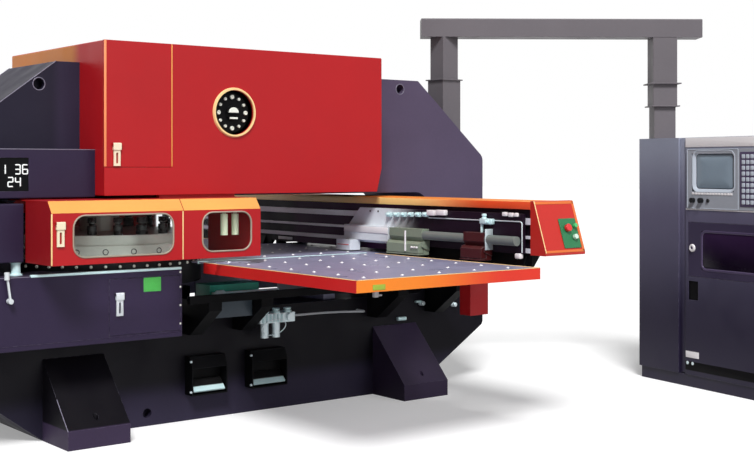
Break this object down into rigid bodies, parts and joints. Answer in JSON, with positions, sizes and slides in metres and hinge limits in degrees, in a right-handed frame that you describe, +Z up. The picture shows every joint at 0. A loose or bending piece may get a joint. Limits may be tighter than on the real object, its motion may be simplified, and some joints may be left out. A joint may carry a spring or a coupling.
{
  "type": "cnc turret punch press",
  "caption": "Turret punch press with bridge frame, red head cover, beam-guided sheet carriage, ball-transfer tables, and a control console joined by an overhead cable duct.",
  "frame": {"origin": "on the floor, under the middle of the bridge frame", "axes": "+X to the right along the press front, +Y from the front to the back, +Z up"},
  "size_m": [5.1778, 4.3345, 2.46],
  "materials": {
    "red_paint": "semi-gloss red enamel",
    "dark_paint": "satin dark violet grey enamel",
    "black_paint": "satin black",
    "table_paint": "satin grey lavender",
    "skirt_paint": "semi-gloss orange red",
    "duct_paint": "satin grey",
    "white_paint": "satin off-white",
    "grey_paint": "satin mid grey",
    "green_panel": "semi-gloss green",
    "bright_steel": "ground",
    "dark_steel": "blackened",
    "trim": "semi-gloss orange cream",
    "alloy": "satin",
    "window": "smoked clear sheet",
    "display": "black display glass",
    "red_cap": "gloss",
    "green_cap": "gloss",
    "white_cap": "gloss",
    "black_knob": "gloss"
  },
  "bodies": {
    "machine": {"bridge_frame": "dark_paint", "foot_toes": "dark_paint", "head_cover": "red_paint", "dial_trim": "trim", "readout_housing": "dark_paint", "display_screens": "display", "side_housing": "dark_paint", "service_cabinet": "dark_paint", "guard_fixed": "red_paint", "guard_window": "window", "rear_guard": "red_paint", "air_cylinders": "alloy", "turret_spindles": "dark_steel", "ram_housing": "dark_paint", "centre_table": "table_paint", "cross_rails": "bright_steel", "rail_brackets": "dark_paint", "axis_motor": "grey_paint", "pedal_hoods": "black_paint", "air_regulator": "alloy", "air_pipe": "bright_steel", "left_duct_post": "duct_paint", "right_duct_post": "duct_paint", "overhead_duct": "duct_paint", "console_cabinet": "red_paint", "console_fascia": "grey_paint"},
    "beam_carriage": {"carriage_beam": "skirt_paint", "beam_rails": "bright_steel", "end_caps": "skirt_paint", "beam_supports": "dark_paint", "drive_box": "red_paint", "wing_tables": "table_paint", "wing_skirts": "skirt_paint", "button_panel": "green_panel"},
    "sheet_carriage": {"carriage_plate": "white_paint", "clamp_bodies": "alloy", "clamp_cylinders": "grey_paint"},
    "turret_top": {"upper_turret": "dark_steel", "punches": "bright_steel"},
    "turret_bottom": {"lower_turret": "dark_steel"},
    "front_guard_door": {"guard_door": "red_paint", "guard_door_window": "window"},
    "head_door": {"head_door": "red_paint"},
    "head_latch": {"head_latch": "trim"},
    "guard_latch": {"guard_latch": "trim"},
    "cabinet_door": {"cabinet_door": "dark_paint"},
    "cabinet_latch": {"cabinet_latch": "alloy"},
    "side_lever": {"side_lever": "bright_steel"},
    "clutch": {"clutch_disc": "dark_steel"},
    "ram": {"ram": "bright_steel"},
    "jaw_1": {"clamp_jaw_1": "bright_steel"},
    "jaw_2": {"clamp_jaw_2": "bright_steel"},
    "stop_button": {"stop_button": "red_cap"},
    "start_button": {"start_button": "green_cap"},
    "hold_button": {"hold_button": "white_cap"},
    "pedal_left": {"pedal_left": "bright_steel"},
    "pedal_right": {"pedal_right": "bright_steel"},
    "console_door": {"console_door": "red_paint"},
    "knob_left": {"knob_left": "black_knob"},
    "knob_right": {"knob_right": "black_knob"}
  },
  "joints": [
    {"name": "head_door_hinge", "type": "hinge", "parent": "machine", "child": "head_door", "pos_m": [-0.703, -0.62, 1.78], "axis": [0, 0, 1], "range_deg": [0, 100]},
    {"name": "head_latch_pivot", "type": "hinge", "parent": "head_door", "child": "head_latch", "pos_m": [-1.031, -0.628, 1.57], "axis": [-1, 0, 0], "range_deg": [0, 50]},
    {"name": "guard_door_hinge", "type": "hinge", "parent": "machine", "child": "front_guard_door", "pos_m": [-0.77, -0.87, 1.1], "axis": [0, 0, 1], "range_deg": [0, 100]},
    {"name": "guard_latch_pivot", "type": "hinge", "parent": "front_guard_door", "child": "guard_latch", "pos_m": [-1.455, -0.878, 1.175], "axis": [-1, 0, 0], "range_deg": [0, 50]},
    {"name": "cabinet_door_hinge", "type": "hinge", "parent": "machine", "child": "cabinet_door", "pos_m": [-0.65, -0.62, 0.714], "axis": [0, 0, 1], "range_deg": [0, 100]},
    {"name": "cabinet_latch_pivot", "type": "hinge", "parent": "cabinet_door", "child": "cabinet_latch", "pos_m": [-1.015, -0.628, 0.783], "axis": [-1, 0, 0], "range_deg": [0, 50]},
    {"name": "lever_pivot", "type": "hinge", "parent": "machine", "child": "side_lever", "pos_m": [-1.615, -0.62, 0.785], "axis": [0, 1, 0], "range_deg": [0, 60]},
    {"name": "clutch_spin", "type": "hinge", "parent": "machine", "child": "clutch", "pos_m": [-0.311, 0, 1.755], "axis": [0, 1, 0], "continuous": true},
    {"name": "lower_turret_spin", "type": "hinge", "parent": "machine", "child": "turret_bottom", "pos_m": [-0.83, 0, 0.87], "axis": [0, 0, 1], "continuous": true},
    {"name": "upper_turret_spin", "type": "hinge", "parent": "machine", "child": "turret_top", "pos_m": [-0.83, 0, 1.02], "axis": [0, 0, 1], "continuous": true},
    {"name": "ram_stroke", "type": "slide", "parent": "machine", "child": "ram", "axis": [0, 0, -1], "range_m": [0, 0.032]},
    {"name": "beam_travel", "type": "slide", "parent": "machine", "child": "beam_carriage", "axis": [-1, 0, 0], "range_m": [0, 0.86]},
    {"name": "carriage_travel", "type": "slide", "parent": "beam_carriage", "child": "sheet_carriage", "axis": [0, 1, 0], "range_m": [0, 2.1]},
    {"name": "jaw_1_pivot", "type": "hinge", "parent": "sheet_carriage", "child": "jaw_1", "pos_m": [0.697, -0.91, 1.002], "axis": [0, 1, 0], "range_deg": [0, 10]},
    {"name": "jaw_2_pivot", "type": "hinge", "parent": "sheet_carriage", "child": "jaw_2", "pos_m": [0.697, -1.505, 1.002], "axis": [0, 1, 0], "range_deg": [0, 10]},
    {"name": "stop_press", "type": "slide", "parent": "beam_carriage", "child": "stop_button", "axis": [0, 0.9476, -0.3193], "range_m": [0, 0.004], "stiffness_N_per_m": 400},
    {"name": "start_press", "type": "slide", "parent": "beam_carriage", "child": "start_button", "axis": [0, 0.9476, -0.3193], "range_m": [0, 0.004], "stiffness_N_per_m": 400},
    {"name": "hold_press", "type": "slide", "parent": "beam_carriage", "child": "hold_button", "axis": [0, 0.9476, -0.3193], "range_m": [0, 0.004], "stiffness_N_per_m": 400},
    {"name": "pedal_left_pivot", "type": "hinge", "parent": "machine", "child": "pedal_left", "pos_m": [-0.3395, -0.336, 0.231], "axis": [1, 0, 0], "range_deg": [0, 6], "stiffness_Nm_per_rad": 40, "springref_deg": -5.73},
    {"name": "pedal_right_pivot", "type": "hinge", "parent": "machine", "child": "pedal_right", "pos_m": [0.0695, -0.336, 0.231], "axis": [1, 0, 0], "range_deg": [0, 6], "stiffness_Nm_per_rad": 40, "springref_deg": -5.73},
    {"name": "console_door_hinge", "type": "hinge", "parent": "machine", "child": "console_door", "pos_m": [2.5931, -2.178, 0.909], "axis": [0, 0, 1], "range_deg": [0, 100]},
    {"name": "knob_left_turn", "type": "hinge", "parent": "machine", "child": "knob_left", "pos_m": [2.6964, -1.44623, 1.232], "axis": [-0.989, 0.1478, 0], "range_deg": [-150, 150]},
    {"name": "knob_right_turn", "type": "hinge", "parent": "machine", "child": "knob_right", "pos_m": [2.68531, -1.52041, 1.232], "axis": [-0.989, 0.1478, 0], "range_deg": [-150, 150]}
  ],
  "couplings": [
    {"joint": "upper_turret_spin", "follows": "lower_turret_spin", "ratio": 1}
  ]
}
